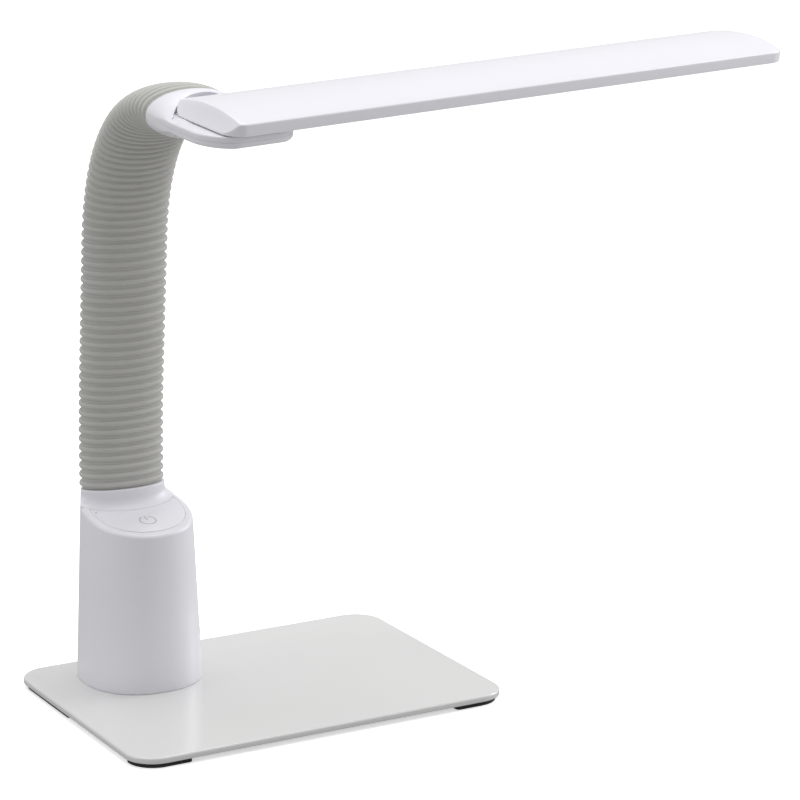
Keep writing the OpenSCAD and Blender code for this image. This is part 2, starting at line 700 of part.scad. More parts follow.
// Swivel: a hollow pin on the bar's floor that turns in the tongue
module at_pin() at_bracket() translate([pin_x, pin_y, 0]) children();
floor_low = head_low + 0.2;
floor_t = 1.4;
floor_top = floor_low + floor_t;
pin_bore = 5;
flange_d = 20;
flange_h = 1.6;
nut_t = 1.1;
module swivel_pin() color(steel) at_pin() difference() {
    union() {
        translate([0, 0, hub_room_low + 0.15])
            cylinder(h = floor_top - hub_room_low, d = pin_d);
        translate([0, 0, floor_top + 0.02]) cylinder(h = flange_h, d = flange_d);
    }
    translate([0, 0, -10]) cylinder(h = 30, d = pin_bore);
    for (a = flange_screws) rotate(a) translate([7.2, 0, 0]) cylinder(h = 20, d = 1.8);
}
flange_screws = [90, 210, 330];
module flange_screw_set() color(steel) at_pin() for (a = flange_screws) rotate(a)
    translate([7.2, 0, floor_low + 0.2]) {
        cylinder(h = 0.8, d = 3);
        cylinder(h = 2.8, d = 1.7);
    }
module swivel_washer() color(diffuser_white) at_pin() translate([0, 0, tongue_high + 0.02])
    difference() {
        cylinder(h = 0.5, d = 26);
        translate([0, 0, -1]) cylinder(h = 3, d = pin_d + 2 * seat_gap);
    }
module spring_washer() color(steel) at_pin() translate([0, 0, hub_room_high - 0.95])
    difference() {
        cylinder(h = 0.9, d = 15);
        translate([0, 0, -1]) cylinder(h = 3, d = pin_d + 2 * seat_gap);
    }
module retaining_nut() color(steel) at_pin() translate([0, 0, hub_room_low + 0.2])
    difference() {
        cylinder(h = nut_t, d = 16, $fn = 6);
        translate([0, 0, -1]) cylinder(h = 3, d = pin_d + 2 * 0.02);
    }

// Light bar: arch section lofted along its length with rounded, sloped ends
end_slope = 4.5;
arch_sides = 12;
head_front = head_l - head_back;
function corner_half(d, r, half) = d >= r ? half : half - r + sqrt(r * r - (r - d) * (r - d));
function arch_ring(x, half, low, side, crown) = concat(
    [[x, half, low]],
    [for (i = [0:arch_sides]) let (y = half * (1 - 2 * i / arch_sides))
        [x, y, low + side + crown * (1 - pow(abs(y) / half, 2))]],
    [[x, -half, low]]);

// Stations along the bar: distance from each end, dense at the rounded corners
end_stations = [0, 0.08, 0.3, 0.65, 1];
function head_section(x, inset, low) =
    let (left = x + head_back, right = head_front - x,
         half = min(corner_half(left - inset, corner_left, head_w / 2 - inset),
                    corner_half(right - inset, corner_right, head_w / 2 - inset)),
         rise = min(1, (left - inset) / end_slope * 0.9 + 0.1, (right - inset) / end_slope * 0.6 + 0.4),
         side = (head_low + head_side - inset - low) * rise)
    arch_ring(x, half, low, side, head_crown * rise * pow(half / (head_w / 2), 2));
function head_rings(inset, low) = concat(
    [for (t = end_stations) head_section(-head_back + inset + t * corner_left, inset, low)],
    [for (t = [4:-1:0]) head_section(head_front - inset - end_stations[t] * corner_right, inset, low)]);
module head_solid(inset, low) loft(head_rings(inset, low));
module head_top() color(white_soft) at_pin() difference() {
    head_solid(0, head_low);
    head_solid(head_wall, head_low - 2);
}

// Floor of the bar with the window for the diffuser
floor_gap = head_wall + 0.15;
window_x = 34;
window_l = head_front - window_x - 12;
window_w = 34;
floor_end_left = 3;
floor_end_right = 2.2;
function floor_half(x) =
    min(corner_half(x + head_back - floor_gap, corner_left, head_w / 2 - floor_gap),
        corner_half(head_front - floor_gap - x, corner_right, head_w / 2 - floor_gap));
floor_xs = [for (i = [0:12]) -head_back + floor_gap + floor_end_left + i,
            for (i = [16:-1:0]) head_front - floor_gap - floor_end_right - i];
module floor_outline() polygon(concat([for (x = floor_xs) [x, -floor_half(x)]],
    [for (i = [len(floor_xs) - 1:-1:0]) [floor_xs[i], floor_half(floor_xs[i])]]));
module head_floor() color(white_soft) at_pin() difference() {
    translate([0, 0, floor_low]) linear_extrude(floor_t) floor_outline();
    translate([window_x, -window_w / 2, head_low - 1]) cube([window_l, window_w, 5]);
    translate([0, 0, head_low - 1]) cylinder(h = 6, d = pin_d + 2 * seat_gap);
    for (a = flange_screws) rotate(a) translate([7.2, 0, floor_low - skin]) {
        cylinder(h = 1.05, d = 3.2);
        cylinder(h = 4, d = 1.9);
    }
}
module diffuser() color(diffuser_white) at_pin()
    translate([window_x + seat_gap, -window_w / 2 + seat_gap, floor_low])
    cube([window_l - 2 * seat_gap, window_w - 2 * seat_gap, floor_t + 0.2]);

// Light board with its row of diodes, under a flat heat spreader
led_t = 0.7;
board_low = floor_top + 0.3 + led_t;
board_w = 12;
module led_board() color(white_gloss) at_pin()
    translate([window_x + 3, -board_w / 2, board_low]) cube([window_l - 6, board_w, 1]);
module led_row() color(led_yellow) at_pin() for (i = [0:led_count - 1])
    translate([window_x + 8 + i * (window_l - 18.8) / (led_count - 1), -1.4, board_low - led_t])
        cube([2.8, 2.8, led_t]);
module heat_spreader() color(steel) at_pin()
    translate([window_x + 2, -8, board_low + 1]) cube([window_l - 4, 16, 0.8]);

base_plate();
foot(-1, -1, foot_front_d);  // foot_front_left
foot(1, -1, foot_front_d);  // foot_front_right
foot(-1, 1, foot_rear_d);  // foot_rear_left
foot(1, 1, foot_rear_d);  // foot_rear_right
stem_housing();
control_panel();
power_icon();
indicator_lens();
touch_board();
driver_board();
dc_jack();
neck_post();
stem_screws();
neck_clamp();
neck_sleeve();
neck_lead();
for (j = [1:joint_count - 1])
    neck_link(j);
neck_tip();
bracket_top();
bracket_bottom();
bracket_screws();
spring_washer();
swivel_washer();
swivel_pin();
retaining_nut();
flange_screw_set();  // flange_screws
head_top();
head_floor();
diffuser();
led_board();
led_row();
heat_spreader();
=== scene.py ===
"""Looks of a desk lamp with an oval stem, a ribbed flexible neck and a long swivelling light bar.

Lengths are in millimetres in the formulas and become metres where a mesh is made. The frame is the
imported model's own: the origin is the middle of the footprint, +X runs along the light bar, -Y points
to the user and +Z is up.
"""

import math

import bmesh
import bpy
from mathutils import Matrix, Vector


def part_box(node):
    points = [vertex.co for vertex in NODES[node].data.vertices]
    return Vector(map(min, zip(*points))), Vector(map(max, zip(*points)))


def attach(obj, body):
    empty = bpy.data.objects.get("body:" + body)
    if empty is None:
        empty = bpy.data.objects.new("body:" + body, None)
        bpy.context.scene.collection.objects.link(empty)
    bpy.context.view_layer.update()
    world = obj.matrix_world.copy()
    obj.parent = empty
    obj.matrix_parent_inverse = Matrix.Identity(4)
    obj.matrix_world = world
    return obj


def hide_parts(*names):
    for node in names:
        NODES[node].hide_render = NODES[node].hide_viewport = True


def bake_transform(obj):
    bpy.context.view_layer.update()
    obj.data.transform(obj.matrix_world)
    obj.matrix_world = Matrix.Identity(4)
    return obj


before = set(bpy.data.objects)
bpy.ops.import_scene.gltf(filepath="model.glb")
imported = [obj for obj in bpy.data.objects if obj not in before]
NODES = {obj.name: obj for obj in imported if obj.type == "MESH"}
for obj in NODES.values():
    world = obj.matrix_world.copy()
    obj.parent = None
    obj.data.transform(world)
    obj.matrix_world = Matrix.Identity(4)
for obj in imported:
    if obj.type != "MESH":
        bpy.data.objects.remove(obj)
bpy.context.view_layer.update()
MM = 0.001


# Camera, fitted to the photograph's plate corners and uprights
CAMERA_PLACE = Vector((-0.66977, -1.32827, 0.52557))
CAMERA_YAW = math.radians(29.41)
CAMERA_PITCH = math.radians(14.24)
CAMERA_LENS = 143.2


def make_camera():
    data = bpy.data.cameras.new("camera")
    data.lens = CAMERA_LENS
    data.sensor_width = 36
    data.clip_start = 0.05
    camera = bpy.data.objects.new("camera", data)
    bpy.context.scene.collection.objects.link(camera)
    level = math.cos(CAMERA_PITCH)
    aim = Vector((math.sin(CAMERA_YAW) * level, math.cos(CAMERA_YAW) * level, -math.sin(CAMERA_PITCH)))
    camera.location = CAMERA_PLACE
    camera.rotation_mode = "QUATERNION"
    camera.rotation_quaternion = aim.to_track_quat("-Z", "Y")
    bpy.context.scene.camera = camera


make_camera()


# Shader building blocks
class Value:
    """A shader socket that takes arithmetic, each sign adding one Math node."""

    def __init__(self, shader, socket):
        self.shader = shader
        self.socket = socket

    def _math(self, operation, first, second):
        return self.shader.node("ShaderNodeMath", {"operation": operation}, {0: first, 1: second})

    def __add__(self, other):
        return self._math("ADD", self, other)

    def __radd__(self, other):
        return self._math("ADD", other, self)

    def __sub__(self, other):
        return self._math("SUBTRACT", self, other)

    def __rsub__(self, other):
        return self._math("SUBTRACT", other, self)

    def __mul__(self, other):
        return self._math("MULTIPLY", self, other)

    def __rmul__(self, other):
        return self._math("MULTIPLY", other, self)


class Shader:
    """One material: a Principled surface, with nodes made by a single method."""

    def __init__(self, name, constants):
        self.material = bpy.data.materials.new(name)
        self.material.use_nodes = True
        self.tree = self.material.node_tree
        self.surface = self.tree.nodes["Principled BSDF"]
        for socket, value in constants.items():
            self.surface.inputs[socket].default_value = value

    def put(self, socket, value):
        if isinstance(value, Value):
            self.tree.links.new(value.socket, socket)
        else:
            socket.default_value = value

    def node(self, kind, settings, inputs, output=0):
        made = self.tree.nodes.new(kind)
        for name, value in settings.items():
            setattr(made, name, value)
        for name, value in inputs.items():
            self.put(made.inputs[name], value)
        return Value(self, made.outputs[output])

    def feed(self, socket, value):
        self.put(self.surface.inputs[socket], value)

    def place(self):
        return self.node("ShaderNodeTexCoord", {}, {}, "Object")

    def noise(self, per_metre, detail=3.0, roughness=0.55, place=None):
        inputs = {
            "Vector": place or self.place(), "Scale": per_metre, "Detail": detail, "Roughness": roughness,
        }
        return self.node("ShaderNodeTexNoise", {}, inputs, "Fac")

    def tint(self, factor, first, second):
        made = self.tree.nodes.new("ShaderNodeMix")
        made.data_type = "RGBA"
        self.put(made.inputs[0], factor)
        made.inputs[6].default_value = (*first, 1)
        made.inputs[7].default_value = (*second, 1)
        return Value(self, made.outputs[2])

    def bump(self, height, strength, depth_mm):
        inputs = {"Height": height, "Strength": strength, "Distance": depth_mm * MM}
        self.feed("Normal", self.node("ShaderNodeBump", {}, inputs, "Normal"))


def finish_of(name, light, dark, rough, grain_mm, grain_depth, cloud_mm=40, rough_swing=0.06, extra=()):
    """A surface with a slow drift of tone and gloss and a fine moulded or sprayed grain."""
    shader = Shader(name, dict(extra))
    cloud = shader.noise(1000 / cloud_mm, 2.0)
    shader.feed("Base Color", shader.tint(cloud, light, dark))
    smear = shader.noise(1000 / (cloud_mm * 0.45), 4.0)
    shader.feed("Roughness", smear * rough_swing + (rough - rough_swing / 2))
    grain = shader.noise(1000 / grain_mm, 2.0)
    shader.bump(grain, 0.35, grain_depth)
    return shader.material


SATIN_WHITE = finish_of(
    "satin_white_plastic", (0.83, 0.825, 0.875), (0.80, 0.795, 0.85), 0.34, 0.35, 0.012,
    extra={"Specular IOR Level": 0.5, "Coat Weight": 0.12, "Coat Roughness": 0.2})
PANEL_WHITE = finish_of(
    "panel_white_plastic", (0.84, 0.835, 0.885), (0.81, 0.805, 0.86), 0.26, 0.5, 0.006,
    extra={"Specular IOR Level": 0.5, "Coat Weight": 0.2, "Coat Roughness": 0.12})
PLATE_WHITE = finish_of(
    "plate_white_enamel", (0.77, 0.77, 0.765), (0.745, 0.745, 0.74), 0.14, 1.6, 0.01, 60, 0.05,
    extra={"Specular IOR Level": 0.6, "Coat Weight": 0.7, "Coat Roughness": 0.06})
SLEEVE_GREY = finish_of(
    "sleeve_silicone", (0.55, 0.548, 0.52), (0.50, 0.498, 0.47), 0.5, 0.25, 0.02, 14, 0.1,
    extra={"Specular IOR Level": 0.35, "Sheen Weight": 0.08, "Sheen Roughness": 0.5})
FOOT_BLACK = finish_of(
    "foot_rubber", (0.018, 0.018, 0.019), (0.03, 0.03, 0.031), 0.68, 0.4, 0.06, 8, 0.1)
ICON_GREY = finish_of(
    "printed_grey", (0.42, 0.42, 0.45), (0.38, 0.38, 0.41), 0.45, 0.2, 0.005, 6)
DIFFUSER = finish_of(
    "opal_diffuser", (0.88, 0.88, 0.86), (0.85, 0.85, 0.83), 0.42, 0.5, 0.02, 30,
    extra={"Subsurface Weight": 0.25, "Subsurface Scale": 0.002})
STEEL = finish_of(
    "plain_steel", (0.56, 0.57, 0.58), (0.48, 0.49, 0.5), 0.36, 0.3, 0.02, 9, 0.12, extra={"Metallic": 1.0})
ALUMINIUM = finish_of(
    "aluminium_sheet", (0.72, 0.73, 0.74), (0.66, 0.67, 0.68), 0.4, 0.4, 0.02, 12, 0.1,
    extra={"Metallic": 1.0})
NYLON = finish_of("dark_nylon", (0.09, 0.09, 0.1), (0.06, 0.06, 0.068), 0.5, 0.3, 0.02, 8)
BOARD_GREEN = finish_of("board_green", (0.02, 0.13, 0.06), (0.015, 0.1, 0.045), 0.4, 0.6, 0.02, 5)
BOARD_WHITE = finish_of("board_white_mask", (0.8, 0.8, 0.79), (0.76, 0.76, 0.75), 0.4, 0.6, 0.02, 8)
PHOSPHOR = finish_of("led_phosphor", (0.85, 0.72, 0.22), (0.8, 0.66, 0.18), 0.5, 0.2, 0.01, 2)
LEAD_GREY = finish_of("lead_grey", (0.2, 0.2, 0.21), (0.16, 0.16, 0.17), 0.55, 0.4, 0.02, 6)

NODE_FINISH = {
    "base_plate": PLATE_WHITE, "foot_front_left": FOOT_BLACK, "foot_front_right": FOOT_BLACK,
    "foot_rear_left": FOOT_BLACK, "foot_rear_right": FOOT_BLACK, "power_icon": ICON_GREY,
    "indicator_lens": ICON_GREY, "touch_board": BOARD_GREEN, "driver_board": BOARD_GREEN, "dc_jack": NYLON,
    "neck_post": STEEL, "stem_screws": STEEL, "neck_clamp": STEEL, "neck_tip": STEEL,
    "bracket_screws": STEEL, "swivel_washer": NYLON, "swivel_pin": STEEL, "retaining_nut": STEEL,
    "spring_washer": STEEL, "flange_screws": STEEL, "head_floor": SATIN_WHITE, "diffuser": DIFFUSER,
    "led_board": BOARD_WHITE, "led_row": PHOSPHOR, "heat_spreader": ALUMINIUM,
}
for link in range(1, 12):
    NODE_FINISH[f"neck_link_{link}"] = STEEL


def paint(target, material):
    target.data.materials.clear()
    target.data.materials.append(material)


for node_name, node_material in NODE_FINISH.items():
    paint(NODES[node_name], node_material)


# Mesh building blocks
def new_object(name, points, faces):
    mesh = bpy.data.meshes.new(name)
    mesh.from_pydata([Vector(p) * MM for p in points], [], faces)
    mesh.update()
    made = bpy.data.objects.new(name, mesh)
    bpy.context.scene.collection.objects.link(made)
    return made


def select_only(target):
    bpy.ops.object.select_all(action="DESELECT")
    target.select_set(True)
    bpy.context.view_layer.objects.active = target


def soften(target, degrees=35):
    select_only(target)
    bpy.ops.object.shade_smooth_by_angle(angle=math.radians(degrees))


def outward(target):
    work = bmesh.new()
    work.from_mesh(target.data)
    bmesh.ops.remove_doubles(work, verts=work.verts, dist=1e-7)
    bmesh.ops.recalc_face_normals(work, faces=work.faces)
    work.to_mesh(target.data)
    work.free()


def loft(name, rings, band=False):
    """Solid through rings of points; a band joins its last ring to its first and has no caps."""
    count = len(rings[0])
    points = [p for ring in rings for p in ring]
    faces = []
    for k in range(len(rings) if band else len(rings) - 1):
        here, there = k * count, ((k + 1) % len(rings)) * count
        for i in range(count):
            j = (i + 1) % count
            faces.append((here + i, here + j, there + j, there + i))
    if not band:
        faces.append(tuple(range(count)))
        faces.append(tuple((len(rings) - 1) * count + i for i in range(count)))
    made = new_object(name, points, faces)
    outward(made)
    return made


def cut(target, tool, operation="DIFFERENCE"):
    """Applies a boolean and takes the tool away."""
    modifier = target.modifiers.new("cut", "BOOLEAN")
    modifier.operation = operation
    modifier.solver = "EXACT"
    modifier.object = tool
    select_only(target)
    bpy.ops.object.modifier_apply(modifier=modifier.name)
    bpy.data.objects.remove(tool)


def settle(target, body, material, replaced):
    """Gives a finished piece its material and body, and hides the nodes it replaces."""
    paint(target, material)
    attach(target, body)
    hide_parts(*replaced)


def signed_power(value, power):
    return math.copysign(abs(value) ** power, value)


def oval(half_x, half_y, power, count, inset=0.0):
    """Superellipse outline; each point is drawn in by an inset along the outline's own normal."""
    outline = []
    for i in range(count):
        angle = 2 * math.pi * i / count
        c = signed_power(math.cos(angle), 2 / power)
        s = signed_power(math.sin(angle), 2 / power)
        outline.append(((half_x - inset) * c, (half_y - inset) * s))
    return outline


def ease(t):
    t = min(max(t, 0.0), 1.0)
    return t * t * (3 - 2 * t)


def mix(a, b, t):
    return a + (b - a) * t


# Base plate with a rolled top edge
PLATE_W, PLATE_D, PLATE_LOW, PLATE_TOP = 200, 146, 2.5, 5.5
PLATE_CORNER, PLATE_EDGE = 15, 1.0
SCREW_D, POST_SCREW_X, BOSS_X, BOSS_Y = 4, 14, 20.5, -15.5


def rounded_outline(width, depth, radius, steps):
    outline = []
    for quarter, (sx, sy) in enumerate(((1, 1), (-1, 1), (-1, -1), (1, -1))):
        for i in range(steps + 1):
            angle = math.pi / 2 * (quarter + i / steps)
            outline.append((sx * (width / 2 - radius) + radius * math.cos(angle),
                            sy * (depth / 2 - radius) + radius * math.sin(angle)))
    return outline


def plate_ring(inset, z):
    outline = rounded_outline(PLATE_W - 2 * inset, PLATE_D - 2 * inset, PLATE_CORNER - inset, 16)
    return [(x, y, z) for x, y in outline]


def make_plate():
    rings = [plate_ring(0.3, PLATE_LOW), plate_ring(0.09, PLATE_LOW + 0.09), plate_ring(0, PLATE_LOW + 0.3)]
    for i in range(9):
        angle = math.pi / 2 * i / 8
        rings.append(plate_ring(PLATE_EDGE * (1 - math.cos(angle)),
                                PLATE_TOP - PLATE_EDGE * (1 - math.sin(angle))))
    plate = loft("plate_skin", rings)
    turn = Matrix.Rotation(NECK_TURN, 2)
    places = [turn @ Vector((side * POST_SCREW_X, 0)) + NECK_ROOT.xy for side in (-1, 1)]
    places += [Vector((STEM_X + side * BOSS_X, STEM_Y + BOSS_Y)) for side in (-1, 1)]
    for place in places:
        sunk_hole(plate, place)
    soften(plate, 30)
    settle(plate, "base", PLATE_WHITE, ["base_plate"])


def sunk_hole(plate, place):
    """Countersunk hole up through the plate for one of the stem's screws."""
    narrow, wide = SCREW_D / 2 + 0.05, SCREW_D + 0.05
    sink = PLATE_LOW + 0.15
    profile = [(wide, PLATE_LOW - 1), (wide, sink), (narrow, sink + SCREW_D * 0.55), (narrow, PLATE_TOP + 1)]
    rings = [[(place.x + x, place.y + y, z) for x, y in frame_circle(radius, 48)] for radius, z in profile]
    cut(plate, loft("sunk_hole", rings))


# Stem: tapered oval with a sloped top that rises into the neck's collar
STEM_X, STEM_Y = -47, 39.5
STEM_W, STEM_D, STEM_TOP_W, STEM_TOP_D = 60, 63, 53, 56.5
STEM_H, STEM_WALL, STEM_POWER = 91, 2.4, 2.2
SLOPE = math.tan(math.radians(12))
RIM_ROUND, PANEL_RIM, PANEL_DEPTH = 2.0, 3.4, 1.4
NECK_ROOT = Vector((STEM_X - 0.9, STEM_Y + 14.6, 100.4))
NECK_TURN = math.radians(-3.2)
NECK_POWER = 2.1
COLLAR_W, COLLAR_D, COLLAR_TOP, COLLAR_FILLET, COLLAR_EDGE = 44.4, 23.2, 100.1, 4.0, 0.7
STEM_STEPS = 160


def panel_height(y):
    return STEM_H + (y - STEM_Y) * SLOPE


def stem_point(c, s, inset, z):
    k = (z - PLATE_TOP) / (STEM_H - PLATE_TOP)
    half_x = mix(STEM_W, STEM_TOP_W, k) / 2 - inset
    half_y = mix(STEM_D, STEM_TOP_D, k) / 2 - inset
    return (STEM_X + half_x * c, STEM_Y + half_y * s, z)


def stem_ring(inset, z):
    return [stem_point(c, s, inset, z) for c, s in oval(1, 1, STEM_POWER, STEM_STEPS)]


def stem_top_ring(inset, drop):
    ring = []
    for c, s in oval(1, 1, STEM_POWER, STEM_STEPS):
        z = panel_height(STEM_Y + STEM_TOP_D / 2 * s) - drop
        ring.append(stem_point(c, s, inset, z))
    return ring


def collar_outline(grow, count=STEM_STEPS):
    turn = Matrix.Rotation(NECK_TURN, 2)
    return [turn @ Vector(p) + NECK_ROOT.xy
            for p in oval(COLLAR_W / 2 + grow, COLLAR_D / 2 + grow, NECK_POWER, count)]


def stem_body():
    """Rings up the wall and over the rounded rim, closed by the sloped top."""
    rings = [stem_ring(inset, PLATE_TOP + rise) for inset, rise in ((0.5, 0.02), (0.12, 0.2), (0, 0.6))]
    rings += [stem_ring(0, z) for z in (20, 40, 60)]
    for i in range(11):
        angle = math.pi / 2 * i / 10
        rings.append(stem_top_ring(RIM_ROUND * (1 - math.cos(angle)), RIM_ROUND * (1 - math.sin(angle))))
    return loft("stem_skin", rings)


def collar_tower():
    """The neck's collar, with a fillet that runs out over the slope inside the stem's own outline."""
    rings = [collar_foot(COLLAR_FILLET, -3)]
    for i in range(11):
        angle = math.pi / 2 * i / 10
        spread, rise = COLLAR_FILLET * (1 - math.sin(angle)), COLLAR_FILLET * (1 - math.cos(angle))
        rings.append(collar_foot(spread, rise - 0.02))
    for i in range(6):
        angle = math.pi / 2 * i / 5
        z = COLLAR_TOP - COLLAR_EDGE * (1 - math.sin(angle))
        rings.append([(p.x, p.y, z) for p in collar_outline(-COLLAR_EDGE * (1 - math.cos(angle)))])
    tower = loft("collar", rings)
    cut(tower, loft("clip", [stem_ring(0.02, 60), stem_ring(0.02, COLLAR_TOP + 5)]), "INTERSECT")
    return tower


def collar_foot(grow, rise):
    return [(p.x, p.y, panel_height(p.y) + rise) for p in collar_outline(grow)]


def prism(name, outline, low, high, tilt=None):
    rings = [[(p[0], p[1], z) for p in outline] for z in (low, high)]
    if tilt:
        rings = [[tilt @ Vector(p) for p in ring] for ring in rings]
    return loft(name, rings)


def panel_frame():
    """Frame of the sloped top, with its origin above the stem's middle."""
    return Matrix.Translation((STEM_X, STEM_Y, STEM_H)) @ Matrix.Rotation(math.atan(SLOPE), 4, "X")


def panel_outline(grow):
    """The rim's outline in front of the collar, closed by the collar's own curve."""
    rim = oval(STEM_TOP_W / 2 - PANEL_RIM + grow, STEM_TOP_D / 2 - PANEL_RIM + grow, STEM_POWER, 240)
    middle = Vector((NECK_ROOT.x - STEM_X, (NECK_ROOT.y - STEM_Y) / math.cos(math.atan(SLOPE))))
    turn = Matrix.Rotation(NECK_TURN, 2)
    half_x = COLLAR_W / 2 + COLLAR_FILLET + 0.6 - grow
    half_y = COLLAR_D / 2 + COLLAR_FILLET + 0.6 - grow

    def inside(p):
        q = turn.transposed() @ (Vector(p) - middle)
        return abs(q.x / half_x) ** NECK_POWER + abs(q.y / half_y) ** NECK_POWER < 1

    def in_rim(p):
        return (abs(p[0] / (STEM_TOP_W / 2 - PANEL_RIM + grow)) ** STEM_POWER
                + abs(p[1] / (STEM_TOP_D / 2 - PANEL_RIM + grow)) ** STEM_POWER) < 1

    front = [p for p in rim if p[1] < middle.y and not inside(p)]
    front.sort(key=lambda p: math.atan2(p[0], -p[1]))
    curve = [turn @ Vector(p) + middle for p in oval(half_x, half_y, NECK_POWER, 240)]
    back = sorted((p for p in curve if p.y < middle.y and in_rim(p)), key=lambda p: -p.x)
    return even_points(front, 120) + even_points(back, 60)


def even_points(points, count):
    """The same open line with evenly spaced points."""
    line = [Vector(p) for p in points]
    along = [0.0]
    for a, b in zip(line, line[1:]):
        along.append(along[-1] + (b - a).length)
    spaced, k = [], 0
    for i in range(count):
        want = along[-1] * i / (count - 1)
        while k < len(line) - 2 and along[k + 1] < want:
            k += 1
        span = along[k + 1] - along[k]
        spaced.append(tuple(line[k].lerp(line[k + 1], (want - along[k]) / span if span else 0.0)))
    return spaced


def make_stem():
    shell = stem_body()
    cut(shell, collar_tower(), "UNION")
    inside = [stem_ring(STEM_WALL, PLATE_TOP - 1), stem_ring(STEM_WALL, 40), stem_top_ring(STEM_WALL, 3.4)]
    cut(shell, loft("hollow", inside))
    cut(shell, prism("recess", panel_outline(0.12), -PANEL_DEPTH, 6, panel_frame()))
    throat = [(p.x, p.y) for p in collar_outline(-3.5, 96)]
    cut(shell, prism("throat", throat, 60, 120))
    jack = frame_circle(5.6, 48)
    cut(shell, prism("jack_hole", jack, -8, 8, jack_frame()))
    soften(shell, 28)
    settle(shell, "base", SATIN_WHITE, ["stem_housing"])


def polar(radius, angle):
    return (radius * math.cos(angle), radius * math.sin(angle))


def frame_circle(radius, count):
    return [polar(radius, 2 * math.pi * i / count) for i in range(count)]


def jack_frame():
    low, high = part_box("dc_jack")
    middle = (low + high) / 2 / MM
    return Matrix.Translation((high.x / MM - 1.2, middle.y, middle.z)) @ Matrix.Rotation(math.pi / 2, 4, "Y")


def make_panel():
    frame_of = panel_frame()
    edge = 0.25
    rings = [[frame_of @ Vector((x, y, z)) for x, y in panel_outline(grow)]
             for grow, z in ((0, -PANEL_DEPTH + 0.06), (0, -edge + 0.05), (-0.07, -0.02), (-edge, 0.05))]
    panel = loft("panel_skin", rings)
    soften(panel, 30)
    settle(panel, "base", PANEL_WHITE, ["control_panel"])


# Power inlet: radii of its rim, mouth, socket and pin, and how far it stands inside the wall
JACK_RIM_R, MOUTH_R, SOCKET_R, CENTRE_PIN_R = 5.5, 4, 2.75, 1
JACK_INSET = -0.15


def make_jack():
    """Power inlet whose rim follows the stem's wall, with its socket and centre pin."""
    low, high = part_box("dc_jack")
    face = high.x / MM + 1
    at = Matrix.Translation((face, (low.y + high.y) / 2 / MM, (low.z + high.z) / 2 / MM)) @ Matrix.Rotation(
        math.pi / 2, 4, "Y")
    jack = prism("jack_skin", frame_circle(JACK_RIM_R, 64), low.x / MM - face, 0, at)
    clip = [stem_ring(JACK_INSET, PLATE_TOP + 1), stem_ring(JACK_INSET, STEM_H - 10)]
    cut(jack, loft("wall_shape", clip), "INTERSECT")
    cut(jack, prism("mouth", frame_circle(MOUTH_R, 48), -6, 2, at))
    ring = prism("socket", frame_circle(SOCKET_R, 48), -13, 1, at)
    cut(ring, prism("centre_pin", frame_circle(CENTRE_PIN_R, 24), -14, -7, at))
    cut(jack, ring)
    soften(jack, 30)
    settle(jack, "base", NYLON, ["dc_jack"])


make_plate()
make_stem()
make_panel()
make_jack()


# Route of the neck: a slight forward lean, then a bend over towards the user
SLEEVE_W, SLEEVE_D, SLEEVE_L, RIBS, PART_RIB = 43.6, 21.6, 251, 55, 2.4
FORE_LEAN, LEAN_L = math.radians(6.7), 60
BEND_START, TIP_HEADING, BEND_POWER = 125, math.radians(98), 1.15
ROUTE_STEPS = 1024
PITCH = (SLEEVE_L - PART_RIB) / RIBS


def heading(s):
    share = min(max((s - BEND_START) / (SLEEVE_L - BEND_START), 0), 1) ** BEND_POWER
    return mix(FORE_LEAN * min(max(s, 0) / LEAN_L, 1), TIP_HEADING, share)


def make_route():
    step = SLEEVE_L / ROUTE_STEPS
    places = [(0.0, 0.0)]
    for i in range(ROUTE_STEPS):
        turn = heading((i + 0.5) * step)
        back, up = places[-1]
        places.append((back - step * math.sin(turn), up + step * math.cos(turn)))
    return places


ROUTE = make_route()


def route_at(s):
    if s <= 0:
        return (0.0, s)
    if s >= SLEEVE_L:
        back, up = ROUTE[-1]
        over = s - SLEEVE_L
        return (back - over * math.sin(TIP_HEADING), up + over * math.cos(TIP_HEADING))
    place = s / SLEEVE_L * ROUTE_STEPS
    k = min(int(place), ROUTE_STEPS - 1)
    share = place - k
    return tuple(mix(ROUTE[k][i], ROUTE[k + 1][i], share) for i in (0, 1))


def neck_point(x, y, s):
    back, up = route_at(s)
    turn = heading(s)
    spot = Vector((x, back + y * math.cos(turn), up + y * math.sin(turn)))
    return NECK_ROOT + Matrix.Rotation(NECK_TURN, 3, "Z") @ spot


def neck_ring(half_x, half_y, count, s):
    return [neck_point(x, y, s) for x, y in oval(half_x, half_y, NECK_POWER, count)]


# The core's ball joints, and the grooves where the sleeve's lengths meet
JOINTS = 12
FIRST_JOINT, LAST_JOINT = 5, SLEEVE_L - 14


def joint_place(j):
    return FIRST_JOINT + (LAST_JOINT - FIRST_JOINT) * j / (JOINTS - 1)


def length_splits():
    """Sleeve lengths end at the groove nearest to the middle of each link."""
    middles = [(joint_place(j) + joint_place(j + 1)) / 2 for j in range(JOINTS - 1)]
    return [0] + [round(m / PITCH) for m in middles] + [RIBS]


SPLITS = length_splits()
RIB_DEPTH, SLEEVE_WALL = 1.3, 1.6
SLEEVE_SIDES, RIB_STEPS, RIB_HALF = 72, 12, 0.33


def rib_radius(share):
    """Drop below the crest: a round rib between narrower flat valleys."""
    across = min(abs(share - 0.5) / RIB_HALF, 1)
    return RIB_DEPTH * (1 - math.sqrt(1 - across ** 2))


def weigh(steps, count, start, end):
    """Works out weights along the neck's own length; they are not returned, so nothing uses them."""
    weights = []
    for s in steps:
        weights += [ease((s - start) / (end - start))] * count


def bend_piece(made, steps, count, start, end):
    middle_a = neck_point(0, 0, start) * MM
    middle_b = neck_point(0, 0, end) * MM
    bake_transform(made)
    weigh(steps, count, start, end)


